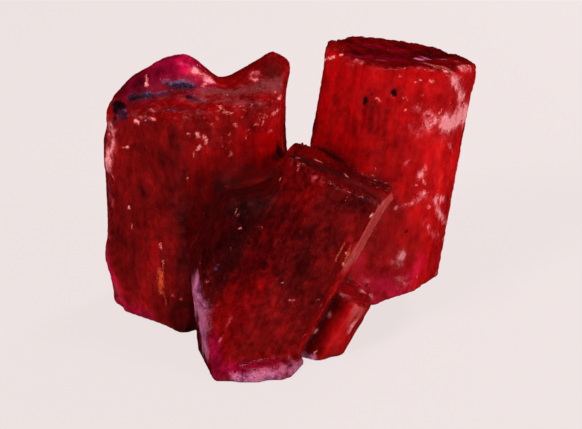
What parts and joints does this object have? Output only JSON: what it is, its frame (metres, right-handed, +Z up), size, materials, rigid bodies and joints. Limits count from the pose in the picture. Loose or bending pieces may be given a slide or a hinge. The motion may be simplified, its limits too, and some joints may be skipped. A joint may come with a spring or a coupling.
{
  "type": "raw ruby crystal cluster",
  "caption": "Intergrown stubby six-sided raw ruby prisms with broken ends, steps and pits, standing upright on a flat cut base.",
  "frame": {"origin": "on the ground under the middle of the bounding box", "axes": "+Z up along the tall crystal, +X to the leaning crystal, -Y towards the front crystal and its thin foot"},
  "size_m": [0.0606, 0.044, 0.0429],
  "materials": {
    "ruby": "glossy, lightly frosted translucent crystal faces"
  },
  "bodies": {
    "root": {"ruby_crystal_cluster": "ruby"}
  },
  "joints": []
}
